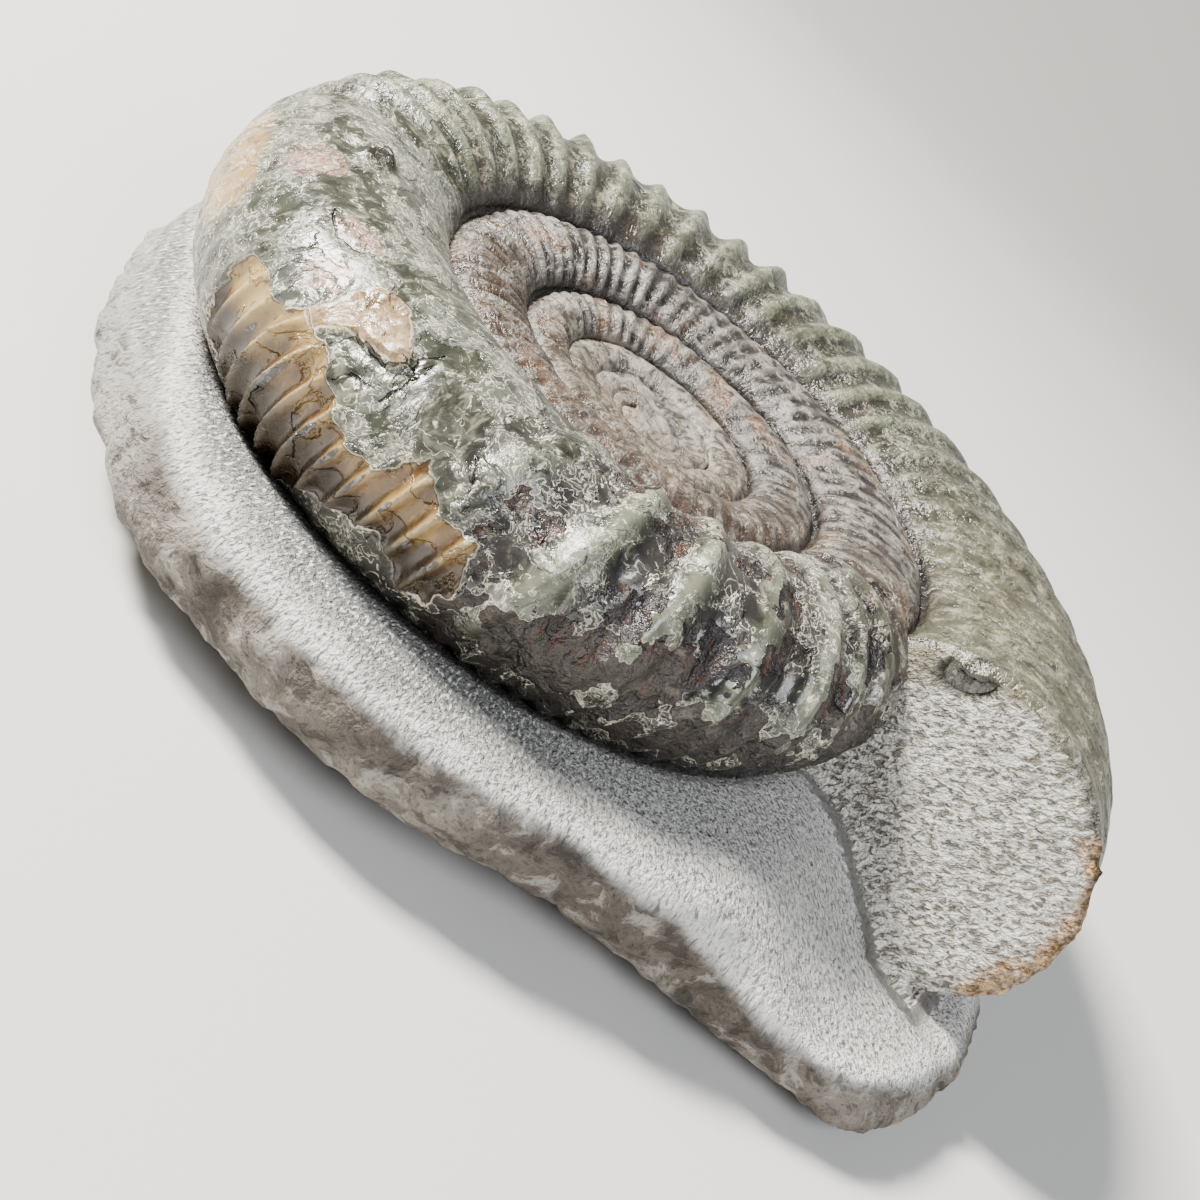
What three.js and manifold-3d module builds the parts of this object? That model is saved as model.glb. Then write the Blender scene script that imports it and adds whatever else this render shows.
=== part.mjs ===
// Dactylioceras ammonite fossil on its stone, in millimetres, +Z up.
// Two pieces: the coiled shell, and the grey limestone that it lies in. The stone also fills the mouth of the shell.
// Shell shapes are worked out from the angle t, in radians, counted back from the mouth round the coil axis.
import * as THREE from "three";
import { mergeVertices } from "three/addons/utils/BufferGeometryUtils.js";
import Module from "manifold-3d";

const wasm = await Module();
wasm.setup();

const TURN = 2 * Math.PI;
const radians = THREE.MathUtils.degToRad;
const { clamp, lerp, smoothstep } = THREE.MathUtils;

// The coil
const MOUTH_RADIUS = 37.8; // coil axis to the middle of the whorl at the mouth
const MOUTH_BEARING = radians(-13.4); // where the mouth stands round the axis, from +X
const WHORL_RATIO = 1.63; // how much bigger each whorl is than the one inside it
const HALF_WIDTH = 0.343; // half of a whorl's width across the coil, as a share of its radius
const HALF_HEIGHT = 0.287; // half of a whorl's height, as a share of its radius
const HEIGHT_LAG = 0.0286; // how much taller inner whorls are for their width, per radian
const WHORLS = 4;

// The ribs
const RIBS_OUTER = 39; // ribs in a turn of the outer whorl, each forked in two over the shell's outer edge
const RIBS_INNER = 60; // ribs in a turn of the inner whorls
const RIB_HEIGHT = 0.026; // as a share of the whorl's radius
const SHOULDER = radians(38); // where a rib forks, up from the coil's middle plane
const NODE_HEIGHT = 0.012; // the small knob at the fork, as a share of the whorl's radius

// How deep the shell lies in the stone, below the coil's middle plane
const DEPTH = 6.6;
const DEPTH_AT_MOUTH = 10.6;
const DEPTH_FADE = [0.45, 1.5]; // the angles over which the one becomes the other
const CLEARANCE = 0.3; // the gap between shell and stone

// The stone, with heights below the coil's middle plane
const STONE_CENTRE = [4, -1]; // seen from the coil axis
const STONE_FLOOR = -17.6; // the flat spot that it rests on
const STONE_TOP = -5.9; // its face round the shell
const STONE_DIP = 5.4; // how far that face falls towards the tongue under the mouth
const DIP_ACROSS = [32, 46]; // where it falls, from left to right
const STONE_SEGMENTS = 68;
// The stone's side, anticlockwise from the left: its upper edge and its widest line, both as x, y and z.
const STONE_SIDE = [
  [-39.6, 1.3, -7, -41.7, 0.8, -11.5],
  [-37, -8.5, -7, -39.7, -8.7, -11.5],
  [-31.1, -17.3, -7, -35, -19.1, -11.5],
  [-27, -23.8, -7, -30.1, -26.1, -11.5],
  [-22, -30.7, -7, -23.8, -32.7, -11],
  [-15.9, -35.9, -7, -16.9, -37.6, -11],
  [-9.3, -38.6, -7, -9.5, -39.5, -10.8],
  [0, -39.9, -7, -0.1, -40.6, -10.8],
  [6.2, -39.3, -7, 6.2, -40.1, -10.8],
  [12.5, -37.7, -7, 12.8, -38.4, -10.8],
  [17.8, -35.5, -7, 18.3, -35.8, -10.9],
  [22.8, -34.3, -7.3, 22.9, -34.2, -11.2],
  [27.6, -32.6, -8.2, 27, -32.4, -12.3],
  [31.3, -31, -9.6, 30.9, -31, -13.2],
  [35.2, -30.4, -10.4, 34.9, -30.1, -14],
  [38.6, -29.4, -10.8, 38.5, -29.5, -14.7],
  [41.2, -28.3, -11, 41.9, -29.1, -15],
  [44.6, -26.2, -11.2, 45.7, -27.6, -15],
  [46.8, -23.6, -11.4, 48.3, -24.8, -15],
  [48.4, -20.5, -11.5, 50.2, -21.8, -14.8],
  [49.8, -17.2, -11.6, 51.9, -18.1, -14.2],
  [50.8, -11.8, -11.6, 53, -12.5, -13.6],
  [51, -4.5, -11.6, 53.2, -5, -13.2],
  [50.2, 4, -11, 52.4, 4, -13],
  [47.6, 13.4, -9, 49.8, 14, -12.5],
  [43.3, 23.8, -7, 45.2, 25, -11.5],
  [35.4, 33.8, -7, 37, 35.5, -11.5],
  [25, 41.2, -7, 26, 43.2, -11.5],
  [11.6, 44.8, -7, 12, 47, -11.5],
  [-2.5, 44.2, -7, -3, 46.4, -11.5],
  [-16, 39.8, -7, -17, 42, -11.5],
  [-27, 31.8, -7, -28.5, 33.5, -11.5],
  [-34.6, 21.3, -7, -36.5, 22.5, -11.5],
  [-38.7, 10.5, -7, -40.8, 11, -11.5],
];

// The stone in the mouth stands forward of the shell, more at its foot, and spreads past the shell's lower lip.
const FILLING_FORWARD = 0.9;
const FILLING_FOOT = 3.2;
const FILLING_SPREAD = 3;
const SPREAD_AT = radians(-50); // round the mouth, from its outer side

// The origin is on the resting face, below the middle of the whole piece.
const COIL_AXIS = [-5.853, -3.151, -STONE_FLOOR];

function whorl(t) {
  const radius = MOUTH_RADIUS * WHORL_RATIO ** (-t / TURN);
  return {
    radius,
    halfWidth: HALF_WIDTH * radius,
    halfHeight: HALF_HEIGHT * radius * Math.exp(HEIGHT_LAG * t),
  };
}

// Where the whorl at t meets the next one in: the angle round each whorl's section, found by halving.
function seam(t) {
  const outer = whorl(t);
  const inner = whorl(t + TURN);
  const top = (w, r) => w.halfHeight * Math.sqrt(Math.max(0, 1 - ((r - w.radius) / w.halfWidth) ** 2));
  let low = outer.radius - outer.halfWidth;
  let high = inner.radius + inner.halfWidth;
  for (let i = 0; i < 40; i++) {
    const middle = (low + high) / 2;
    if (top(outer, middle) < top(inner, middle)) low = middle;
    else high = middle;
  }
  const r = (low + high) / 2;
  return {
    r,
    z: top(outer, r),
    onOuter: Math.acos(clamp((r - outer.radius) / outer.halfWidth, -1, 1)),
    onInner: Math.acos(clamp((r - inner.radius) / inner.halfWidth, -1, 1)),
  };
}

// Ribs stand closer on the inner whorls. The count of ribs up to t is the sum of their density.
const RIB_STEPS = 4000;
const lastAngle = WHORLS * TURN;
const ribCounts = [0];
for (let i = 1; i <= RIB_STEPS; i++) {
  const t = ((i - 0.5) / RIB_STEPS) * lastAngle;
  const density = lerp(RIBS_OUTER, RIBS_INNER, smoothstep(t, 5.5, 9));
  ribCounts.push(ribCounts[i - 1] + (density / TURN) * (lastAngle / RIB_STEPS));
}

function ribCount(t) {
  const place = clamp((t / lastAngle) * RIB_STEPS, 0, RIB_STEPS);
  const i = Math.min(Math.floor(place), RIB_STEPS - 1);
  return lerp(ribCounts[i], ribCounts[i + 1], place - i);
}

// How strongly the ribs show: they are worn smooth near the mouth and on the flank past the half turn.
function ribStrength(t, psi) {
  const nearMouth = smoothstep(t, 0.15, 0.9);
  const flank = smoothstep(psi, SHOULDER - 0.5, SHOULDER + 0.2);
  const worn = smoothstep(t, 3.0, 3.5) * (1 - smoothstep(t, 4.7, 5.1)) * flank;
  return lerp(0.25, 1, nearMouth) * (1 - 0.75 * worn);
}

// Height of the ribs over the smooth whorl at t and at the angle psi round its section.
function relief(t, psi) {
  const count = ribCount(t);
  const single = 0.5 + 0.5 * Math.cos(TURN * count);
  const forked = 0.5 - 0.5 * Math.cos(2 * TURN * count);
  const outerWhorl = 1 - smoothstep(t, 5.6, 6.2);
  const overEdge = (1 - smoothstep(psi, SHOULDER - 0.35, SHOULDER + 0.15)) * outerWhorl;
  const knob = Math.exp(-(((psi - SHOULDER) / 0.22) ** 2)) * single ** 2 * outerWhorl;
  const rib = lerp(single, 0.75 * forked, overEdge) - 0.5;
  return whorl(t).radius * ribStrength(t, psi) * (RIB_HEIGHT * rib + NODE_HEIGHT * knob);
}

// A point on the shell, its ribs fading to nothing where share is 0.
function shellPoint(t, psi, share, clearance) {
  const w = whorl(t);
  const out = new THREE.Vector2(Math.cos(psi) / w.halfWidth, Math.sin(psi) / w.halfHeight).normalize();
  const lift = clearance + share * relief(t, psi);
  const r = w.radius + w.halfWidth * Math.cos(psi) + lift * out.x;
  const z = w.halfHeight * Math.sin(psi) + lift * out.y;
  const bearing = MOUTH_BEARING + (t > 0 ? t : -clearance / MOUTH_RADIUS);
  return new THREE.Vector3(r * Math.cos(bearing), r * Math.sin(bearing), z);
}

// Collects points and triangles, and joins two rows of points that need not have the same count.
class Skin {
  constructor() {
    this.points = [];
    this.triangles = [];
  }
  row(points) {
    return points.map((p) => this.points.push(p) - 1);
  }
  join(a, b) {
    let i = 0;
    let j = 0;
    while (i < a.length - 1 || j < b.length - 1) {
      const nextA = (i + 1) / (a.length - 1);
      const nextB = (j + 1) / (b.length - 1);
      if (j === b.length - 1 || (i < a.length - 1 && nextA <= nextB)) {
        this.triangles.push([a[i], a[i + 1], b[j]]);
        i++;
      } else {
        this.triangles.push([a[i], b[j + 1], b[j]]);
        j++;
      }
    }
  }
  geometry() {
    const kept = this.triangles.filter(([a, b, c]) => a !== b && b !== c && a !== c);
    const corners = kept.flat().flatMap((i) => this.points[i].toArray());
    const loose = new THREE.BufferGeometry();
    loose.setAttribute("position", new THREE.Float32BufferAttribute(corners, 3));
    return mergeVertices(loose, 1e-4);
  }
}

// Cross-sections to a rib in each turn, from the outermost in
const SECTIONS_PER_RIB = [4, 2, 2, 0.7];

function sectionAngles() {
  const angles = [];
  for (const [turn, perRib] of SECTIONS_PER_RIB.entries()) {
    const from = turn * TURN;
    const to = from + TURN;
    const steps = Math.round((ribCount(to) - ribCount(from)) * perRib);
    for (let i = 0; i < steps; i++) {
      const wanted = lerp(ribCount(from), ribCount(to), i / steps);
      let low = from;
      let high = to;
      for (let k = 0; k < 30; k++) {
        const middle = (low + high) / 2;
        if (ribCount(middle) < wanted) low = middle;
        else high = middle;
      }
      angles.push(low);
    }
  }
  angles.push(lastAngle);
  return angles;
}

const FLANK_ROWS = 6;
const VENTER_ROWS = 6;

// The shell as one closed skin: the flanks of all whorls, the outer edge of the last one, its mouth and its underside.
function shellGeometry(clearance) {
  const skin = new Skin();
  const angles = sectionAngles();
  const outerCount = angles.indexOf(TURN) + 1;
  const flankAngle = (t, k) => lerp(seam(t).onOuter, seam(t - TURN).onInner, k / FLANK_ROWS);
  const edgeShare = (t, k) => {
    const towardsSeam = smoothstep(k, 0, 2.2);
    return t < TURN ? towardsSeam : towardsSeam * smoothstep(FLANK_ROWS - k, 0, 2.2);
  };

  // The seam that the whorls inside share with the whorl outside them
  const flankRows = [];
  for (let k = 1; k <= FLANK_ROWS; k++)
    flankRows.push(skin.row(angles.map((t) => shellPoint(t, flankAngle(t, k), edgeShare(t, k), clearance))));
  const seamRow = flankRows[FLANK_ROWS - 1];
  for (let k = 1; k < FLANK_ROWS; k++) skin.join(flankRows[k], flankRows[k - 1]);

  // Turn by turn, the innermost row of a whorl meets the seam row one turn further in.
  for (let turn = 0; turn < WHORLS - 1; turn++) {
    const within = (from, to) => angles.flatMap((t, i) => (t >= from - 1e-6 && t <= to + 1e-6 ? [i] : []));
    const outside = within(turn * TURN, (turn + 1) * TURN);
    const inside = within((turn + 1) * TURN, (turn + 2) * TURN);
    const seamPoints = inside.map((i) => seamRow[i]);
    skin.join(outside.map((i) => flankRows[0][i]), seamPoints);
  }

  // The first chamber, closed with a low dome over the last whorl
  const last = angles.flatMap((t, i) => (t >= (WHORLS - 1) * TURN - 1e-6 ? [i] : []));
  const rim = last.map((i) => flankRows[0][i]);
  const endColumn = flankRows.map((row) => row[row.length - 1]);
  const middle = skin.row([new THREE.Vector3(0, 0, 0.9 * whorl(lastAngle).halfHeight + clearance)])[0];
  const centre = [middle, middle];
  skin.join(rim, centre);
  skin.join(endColumn, centre);
  skin.join([seamRow[seamRow.length - 1], rim[0]], centre);

  // Over the outer edge of the last whorl and down into the stone
  const depth = (t) => lerp(DEPTH_AT_MOUTH, DEPTH, smoothstep(t, ...DEPTH_FADE));
  const outerAngles = angles.slice(0, outerCount);
  const foot = (t) => -Math.asin(depth(t) / whorl(t).halfHeight);
  const venterRows = [seamRow.slice(0, outerCount)];
  for (let k = 1; k <= VENTER_ROWS; k++)
    venterRows.push(
      skin.row(
        outerAngles.map((t) => {
          const from = seam(t - TURN).onInner;
          return shellPoint(t, lerp(from, foot(t), k / VENTER_ROWS), k < VENTER_ROWS ? 1 : 0, clearance);
        }),
      ),
    );
  for (let k = 1; k <= VENTER_ROWS; k++) skin.join(venterRows[k], venterRows[k - 1]);

  // The mouth, between the first section and the whorl one turn back
  const first = [seamRow[outerCount - 1], ...flankRows.map((row) => row[0]), ...venterRows.slice(1).map((row) => row[0])];
  const behind = venterRows.map((row) => row[outerCount - 1]);
  skin.join(behind, first);

  // The underside
  const base = skin.row([new THREE.Vector3(0, 0, -DEPTH - clearance)])[0];
  const footRow = venterRows[VENTER_ROWS];
  skin.join([base, base], footRow);
  skin.join([base, base], [footRow[outerCount - 1], footRow[0]]);
  return skin.geometry();
}

function solid(geometry) {
  const merged = mergeVertices(geometry, 1e-4);
  const mesh = new wasm.Mesh({
    numProp: 3,
    vertProperties: merged.attributes.position.array,
    triVerts: new Uint32Array(merged.index.array),
  });
  return new wasm.Manifold(mesh);
}

function geometryOf(manifold) {
  const mesh = manifold.getMesh();
  const geometry = new THREE.BufferGeometry();
  geometry.setAttribute("position", new THREE.BufferAttribute(mesh.vertProperties, 3));
  geometry.setIndex(new THREE.BufferAttribute(mesh.triVerts, 1));
  geometry.computeVertexNormals();
  return geometry;
}

// The face of the stone falls away under the mouth, towards the right and the near side.
function stoneTop(x, y) {
  const swell = 0.3 * Math.sin(x / 9 + 1) * Math.cos(y / 11);
  return STONE_TOP - STONE_DIP * smoothstep(x - 0.2 * y, ...DIP_ACROSS) + swell;
}

function stoneGeometry() {
  const curve = (from) =>
    new THREE.CatmullRomCurve3(STONE_SIDE.map((p) => new THREE.Vector3(...p.slice(from, from + 3))), true)
      .getPoints(STONE_SEGMENTS)
      .slice(0, STONE_SEGMENTS);
  const upper = curve(0);
  const widest = curve(3);
  const centre = new THREE.Vector3(...STONE_CENTRE, 0);
  const skin = new Skin();
  const ring = (place) => {
    const row = skin.row(upper.map((_, i) => place(i)));
    return [...row, row[0]];
  };
  const shrunk = (point, share) => centre.clone().lerp(point, share);
  const top = (share, drop) =>
    ring((i) => {
      const p = shrunk(upper[i], share);
      return p.setZ(stoneTop(p.x, p.y) - drop);
    });
  const lump = (i, k) => 0.3 * Math.sin(i * 1.7 + k) + 0.2 * Math.sin(i * 0.61 + 2 * k);
  const side = (down, bulge, k) =>
    ring((i) => {
      const p = upper[i].clone().lerp(widest[i], down);
      const outward = widest[i].clone().sub(centre).setZ(0).normalize();
      return p.addScaledVector(outward, bulge + 0.5 * lump(i, k));
    });
  const under = (share, down, k) =>
    ring((i) => {
      const p = shrunk(widest[i], share);
      return p.setZ(lerp(widest[i].z, STONE_FLOOR, down) + (down < 1 ? 0.5 * lump(i, k) : 0));
    });
  const rings = [
    top(0.3, 0), top(0.5, 0), top(0.62, 0), top(0.72, 0), top(0.8, 0), top(0.87, 0), top(0.94, 0.25),
    side(0, -0.2, 1), side(0.3, 0.3, 2), side(1, 0, 3),
    under(0.95, 0.4, 4), under(0.8, 0.85, 5), under(0.5, 1, 6),
  ];
  for (let k = 1; k < rings.length; k++) skin.join(rings[k], rings[k - 1]);
  const [cx, cy] = STONE_CENTRE;
  const middle = skin.row([new THREE.Vector3(cx, cy, stoneTop(cx, cy))])[0];
  const bottom = skin.row([new THREE.Vector3(cx, cy, STONE_FLOOR)])[0];
  skin.join(rings[0], [middle, middle]);
  skin.join([bottom, bottom], rings[rings.length - 1]);
  return skin.geometry();
}

// Stone that fills the mouth
function fillingGeometry() {
  const skin = new Skin();
  const w = whorl(0);
  const across = new THREE.Vector3(Math.cos(MOUTH_BEARING), Math.sin(MOUTH_BEARING), 0);
  const forward = new THREE.Vector3(Math.sin(MOUTH_BEARING), -Math.cos(MOUTH_BEARING), 0);
  const sides = 36;
  const lean = (z) => FILLING_FORWARD + FILLING_FOOT * clamp((w.halfHeight - z) / (2 * w.halfHeight), 0, 1.2) ** 1.3;
  const ring = (shrink, ahead) => {
    const points = [];
    for (let i = 0; i < sides; i++) {
      const psi = -Math.PI + (i / sides) * TURN;
      const spread = FILLING_SPREAD * Math.exp(-(((psi - SPREAD_AT) / 1.05) ** 2));
      const out = spread - 0.5 - shrink;
      const z = (w.halfHeight + out) * Math.sin(psi);
      const r = w.radius + (w.halfWidth + out) * Math.cos(psi);
      points.push(across.clone().multiplyScalar(r).addScaledVector(forward, ahead(z)).setZ(z));
    }
    const row = skin.row(points);
    return [...row, row[0]];
  };
  const back = ring(0.6, () => CLEARANCE + 0.1);
  const middle = ring(0, (z) => lerp(CLEARANCE + 0.1, lean(z), 0.5));
  const front = ring(0.5, (z) => lean(z));
  const face = ring(3.2, (z) => lean(z) + 0.3);
  skin.join(back, middle);
  skin.join(middle, front);
  skin.join(front, face);
  const centre = (ahead) => across.clone().multiplyScalar(w.radius).addScaledVector(forward, ahead);
  const [behind, before] = skin.row([centre(CLEARANCE + 0.1), centre(lean(0) + 0.4)]);
  skin.join([behind, behind], back);
  skin.join(face, [before, before]);
  return skin.geometry();
}

const shell = shellGeometry(0);
const pocket = solid(shellGeometry(CLEARANCE));
const stone = solid(stoneGeometry()).add(solid(fillingGeometry())).subtract(pocket);

const shellMaterial = new THREE.MeshStandardMaterial({ color: 0x7d776a, roughness: 0.42, metalness: 0 });
const stoneMaterial = new THREE.MeshStandardMaterial({ color: 0xa7a8a4, roughness: 0.85, metalness: 0 });

const ammonite = new THREE.Mesh(shell, shellMaterial);
ammonite.name = "ammonite_shell";
ammonite.position.set(...COIL_AXIS);

const matrix = new THREE.Mesh(geometryOf(stone), stoneMaterial);
matrix.name = "limestone_matrix";
matrix.position.set(...COIL_AXIS);

const fossil = new THREE.Group();
fossil.add(ammonite, matrix);

export default fossil;
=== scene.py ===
import math

import bmesh
import bpy
import numpy as np
from mathutils import Matrix, Vector, noise


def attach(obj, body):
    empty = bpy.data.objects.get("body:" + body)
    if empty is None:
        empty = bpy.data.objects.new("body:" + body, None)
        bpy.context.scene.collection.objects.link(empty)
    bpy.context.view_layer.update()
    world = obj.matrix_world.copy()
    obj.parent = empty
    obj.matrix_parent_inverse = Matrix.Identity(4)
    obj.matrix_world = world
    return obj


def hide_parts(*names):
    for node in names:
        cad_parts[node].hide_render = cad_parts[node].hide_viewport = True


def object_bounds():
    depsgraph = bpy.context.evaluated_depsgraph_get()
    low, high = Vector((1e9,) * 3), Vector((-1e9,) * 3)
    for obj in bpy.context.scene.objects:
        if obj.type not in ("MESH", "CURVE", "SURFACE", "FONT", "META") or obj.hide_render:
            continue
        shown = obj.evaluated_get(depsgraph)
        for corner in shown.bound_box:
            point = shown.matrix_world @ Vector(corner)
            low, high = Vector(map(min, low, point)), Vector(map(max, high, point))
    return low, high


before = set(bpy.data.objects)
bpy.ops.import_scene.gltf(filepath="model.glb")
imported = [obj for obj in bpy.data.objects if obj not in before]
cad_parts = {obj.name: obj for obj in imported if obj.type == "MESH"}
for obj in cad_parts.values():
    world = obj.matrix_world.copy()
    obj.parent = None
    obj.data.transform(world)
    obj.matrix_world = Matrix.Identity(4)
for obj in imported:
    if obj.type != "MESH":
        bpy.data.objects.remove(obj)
cad_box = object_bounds()

# Camera
# A phone held close over the fossil and turned on its side a little, so that the coil slants across the
# picture.
MM = 0.001
COIL_AXIS = Vector((-5.853, -3.151, 17.6)) * MM  # where the coil's axis and its middle plane meet
AIM = COIL_AXIS + Vector((7.458, -3.984, -10.251)) * MM
CAMERA_DISTANCE = 123.03 * MM
CAMERA_BEARING = math.radians(-87.49)
CAMERA_RISE = math.radians(27.87)
CAMERA_ROLL = math.radians(41.89)

scene = bpy.context.scene
away = Vector((
    math.cos(CAMERA_RISE) * math.cos(CAMERA_BEARING),
    math.cos(CAMERA_RISE) * math.sin(CAMERA_BEARING),
    math.sin(CAMERA_RISE),
))
level = Vector((0, 0, 1)).cross(away).normalized()
upright = away.cross(level)
right = math.cos(CAMERA_ROLL) * level + math.sin(CAMERA_ROLL) * upright
up = away.cross(right)
lens = bpy.data.cameras.new("camera")
lens.sensor_width = 36
lens.lens = 44.53
lens.clip_start = 0.005
camera = bpy.data.objects.new("camera", lens)
camera_turn = Matrix((right, up, away)).transposed().to_4x4()
camera.matrix_world = Matrix.Translation(AIM + away * CAMERA_DISTANCE) @ camera_turn
scene.collection.objects.link(camera)
scene.camera = camera


# Floor and light
# A pale paper sweep that rises behind the fossil, with one soft lamp over the far left, as by a window,
# a wide and weak one from the front right, and even light from all round.
def linear(hex_colour):
    """An sRGB hex colour as linear red, green, blue and alpha."""
    parts = [int(hex_colour[i:i + 2], 16) / 255 for i in (1, 3, 5)]
    return [c / 12.92 if c <= 0.04045 else ((c + 0.055) / 1.055) ** 2.4 for c in parts] + [1.0]


def add_node(material, kind, inputs=None, out=0, **settings):
    """Adds a node and gives one of its outputs. Each input is a node's output, a hex colour or a number."""
    node = material.node_tree.nodes.new("ShaderNode" + kind)
    for name, value in settings.items():
        setattr(node, name, value)
    for key, value in (inputs or {}).items():
        if isinstance(value, bpy.types.NodeSocket):
            material.node_tree.links.new(value, node.inputs[key])
        else:
            node.inputs[key].default_value = linear(value) if isinstance(value, str) else value
    return node.outputs[out] if node.outputs else None


def new_material(name):
    material = bpy.data.materials.new(name)
    material.use_nodes = True
    material.node_tree.nodes.clear()
    return material


def finish_piece(mesh, material):
    """Gives a finished mesh its material and a smooth skin, and puts it in the scene."""
    mesh.materials.clear()
    mesh.materials.append(material)
    mesh.polygons.foreach_set("use_smooth", [True] * len(mesh.polygons))
    piece = bpy.data.objects.new(mesh.name, mesh)
    scene.collection.objects.link(piece)
    return piece


# Uncoated paper, which stays matt and pale from every side
paper = new_material("matt_pale_paper")
paper_shader = add_node(paper, "BsdfPrincipled", {"Base Color": "#d9d9d6", "Roughness": 0.9})
add_node(paper, "OutputMaterial", {"Surface": paper_shader})

FLOOR_REACH = 1.2
SWEEP_START = 0.45  # how far behind the fossil the paper starts to rise
SWEEP_RADIUS = 0.5
SWEEP_RISE = 0.6
HALF_SWEEP = 2  # half the paper's width
SWEEP_LENGTH = FLOOR_REACH + SWEEP_START + SWEEP_RADIUS * math.pi / 2 + SWEEP_RISE
sweep = bmesh.new()
bmesh.ops.create_grid(sweep, x_segments=2, y_segments=60, size=1)
for vert in sweep.verts:
    along = (vert.co.y + 1) / 2 * SWEEP_LENGTH - FLOOR_REACH
    turn = min(max((along - SWEEP_START) / SWEEP_RADIUS, 0), math.pi / 2)
    rise = max(along - SWEEP_START - SWEEP_RADIUS * math.pi / 2, 0)
    vert.co = (
        vert.co.x * HALF_SWEEP,
        min(along, SWEEP_START) + SWEEP_RADIUS * math.sin(turn),
        SWEEP_RADIUS * (1 - math.cos(turn)) + rise,
    )
sweep_mesh = bpy.data.meshes.new("paper_sweep")
sweep.to_mesh(sweep_mesh)
sweep.free()
finish_piece(sweep_mesh, paper)

# Each lamp: its place, its width, its power in watts and its colour. All point at the fossil.
for name, place, width, watts, colour in (
    ("window_light", (-0.46, -0.04, 0.44), 0.13, 16.8, "#fffaf2"),
    ("front_fill", (0.36, -0.40, 0.52), 0.36, 4.3, "#f6f8ff"),
):
    lamp = bpy.data.lights.new(name, "AREA")
    lamp.size = width
    lamp.energy = watts
    lamp.color = linear(colour)[:3]
    holder = bpy.data.objects.new(name, lamp)
    lamp_turn = Vector(place).normalized().to_track_quat("Z", "Y").to_matrix().to_4x4()
    holder.matrix_world = Matrix.Translation(Vector(place)) @ lamp_turn
    scene.collection.objects.link(holder)

world = bpy.data.worlds.new("even_light")
world.use_nodes = True
world.node_tree.nodes["Background"].inputs["Color"].default_value = linear("#e8ecf0")
world.node_tree.nodes["Background"].inputs["Strength"].default_value = 0.18
scene.world = world


# The ammonite's form
# A coil of six whorls, each resting against the one inside it, which the stone and the shell both follow.
# From here, lengths are in millimetres, and are turned to metres when a mesh is made. t is the angle back
# from the mouth round the coil's axis, and psi is the angle round a whorl's cross-section, from its outer side
# up over its top.
TURN = 2 * math.pi
MOUTH_RADIUS = 37.8
MOUTH_BEARING = math.radians(-13.4)
WHORL_RATIO = 1.63  # how much wider the coil gets in each turn
HALF_WIDTH = 0.343
HALF_HEIGHT = 0.287
HEIGHT_LAG = 0.0286
WHORLS = 6.4
CONTACT_DEPTH = 5.9  # how far below the coil's middle plane the stone's face lies
axis_mm = np.array(COIL_AXIS) / MM


def ease(x, low, high):
    """0 below low, 1 above high and a smooth slope between."""
    s = np.clip((np.asarray(x, float) - low) / (high - low), 0, 1)
    return s * s * (3 - 2 * s)


def fade(x, low, high):
    return 1 - ease(x, low, high)


def blend(a, b, share):
    return a + (b - a) * share


def bell(x, middle, width):
    return np.exp(-((np.asarray(x, float) - middle) / width) ** 2)


def whorl_size(t):
    radius = MOUTH_RADIUS * WHORL_RATIO ** (-t / TURN)
    return radius, HALF_WIDTH * radius, HALF_HEIGHT * radius * np.exp(HEIGHT_LAG * t)


def shell_place(t, psi):
    """Where a point of the smooth shell is, from the coil's axis, and which way the shell faces there."""
    radius, wide, high = whorl_size(t)
    facing_out, facing_up = np.cos(psi) / wide, np.sin(psi) / high
    length = np.hypot(facing_out, facing_up)
    facing_out, facing_up = facing_out / length, facing_up / length
    reach = radius + wide * np.cos(psi)
    bearing = MOUTH_BEARING + t
    place = np.stack([reach * np.cos(bearing), reach * np.sin(bearing), high * np.sin(psi)], -1)
    facing = np.stack([facing_out * np.cos(bearing), facing_out * np.sin(bearing), facing_up], -1)
    return place, facing


def whorl_top(t, reach):
    radius, wide, high = whorl_size(t)
    return high * np.sqrt(np.maximum(0, 1 - ((reach - radius) / wide) ** 2))


# Where each whorl meets the next one in, as angles round both cross-sections
seam_t = np.linspace(-TURN, WHORLS * TURN + 1, 900)
low = whorl_size(seam_t)[0] - whorl_size(seam_t)[1]
high = whorl_size(seam_t + TURN)[0] + whorl_size(seam_t + TURN)[1]
for _ in range(40):
    middle = (low + high) / 2
    inside = whorl_top(seam_t, middle) < whorl_top(seam_t + TURN, middle)
    low, high = np.where(inside, middle, low), np.where(inside, high, middle)
seam_on_outer, seam_on_inner = (
    np.arccos(np.clip((low - whorl_size(t)[0]) / whorl_size(t)[1], -1, 1)) for t in (seam_t, seam_t + TURN))


def inner_seam(t):
    return np.interp(t, seam_t, seam_on_outer)


def outer_seam(t):
    return np.interp(t - TURN, seam_t, seam_on_inner)


def ragged(points, size, seed, octaves=2):
    """Cloudy values from about -1 to 1 at points in millimetres, with lumps of about the given size."""
    shift = Vector((seed * 17.3, seed * -9.1, seed * 5.7))
    return np.array([
        noise.fractal(Vector(p) / size + shift, 0.8, 2.1, octaves, noise_basis="PERLIN_ORIGINAL")
        for p in points
    ])


# Limestone
# Fine-grained grey limestone, split from a nodule. The preparer cleared it round the shell with a blown
# powder, which pits its face, and ground the stone in the mouth flush with the shell's lip. Its broken side
# is browner.
STONE_FLOOR = -17.6
STONE_TOP = -5.9
STONE_DIP = 5.4  # how far the face drops towards the front right
DIP_ACROSS = (32, 46)
STONE_GRAIN = 0.5  # the size of the small squares that its skin is made of
PROFILE_ROWS = 34
AROUND = 170
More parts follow.
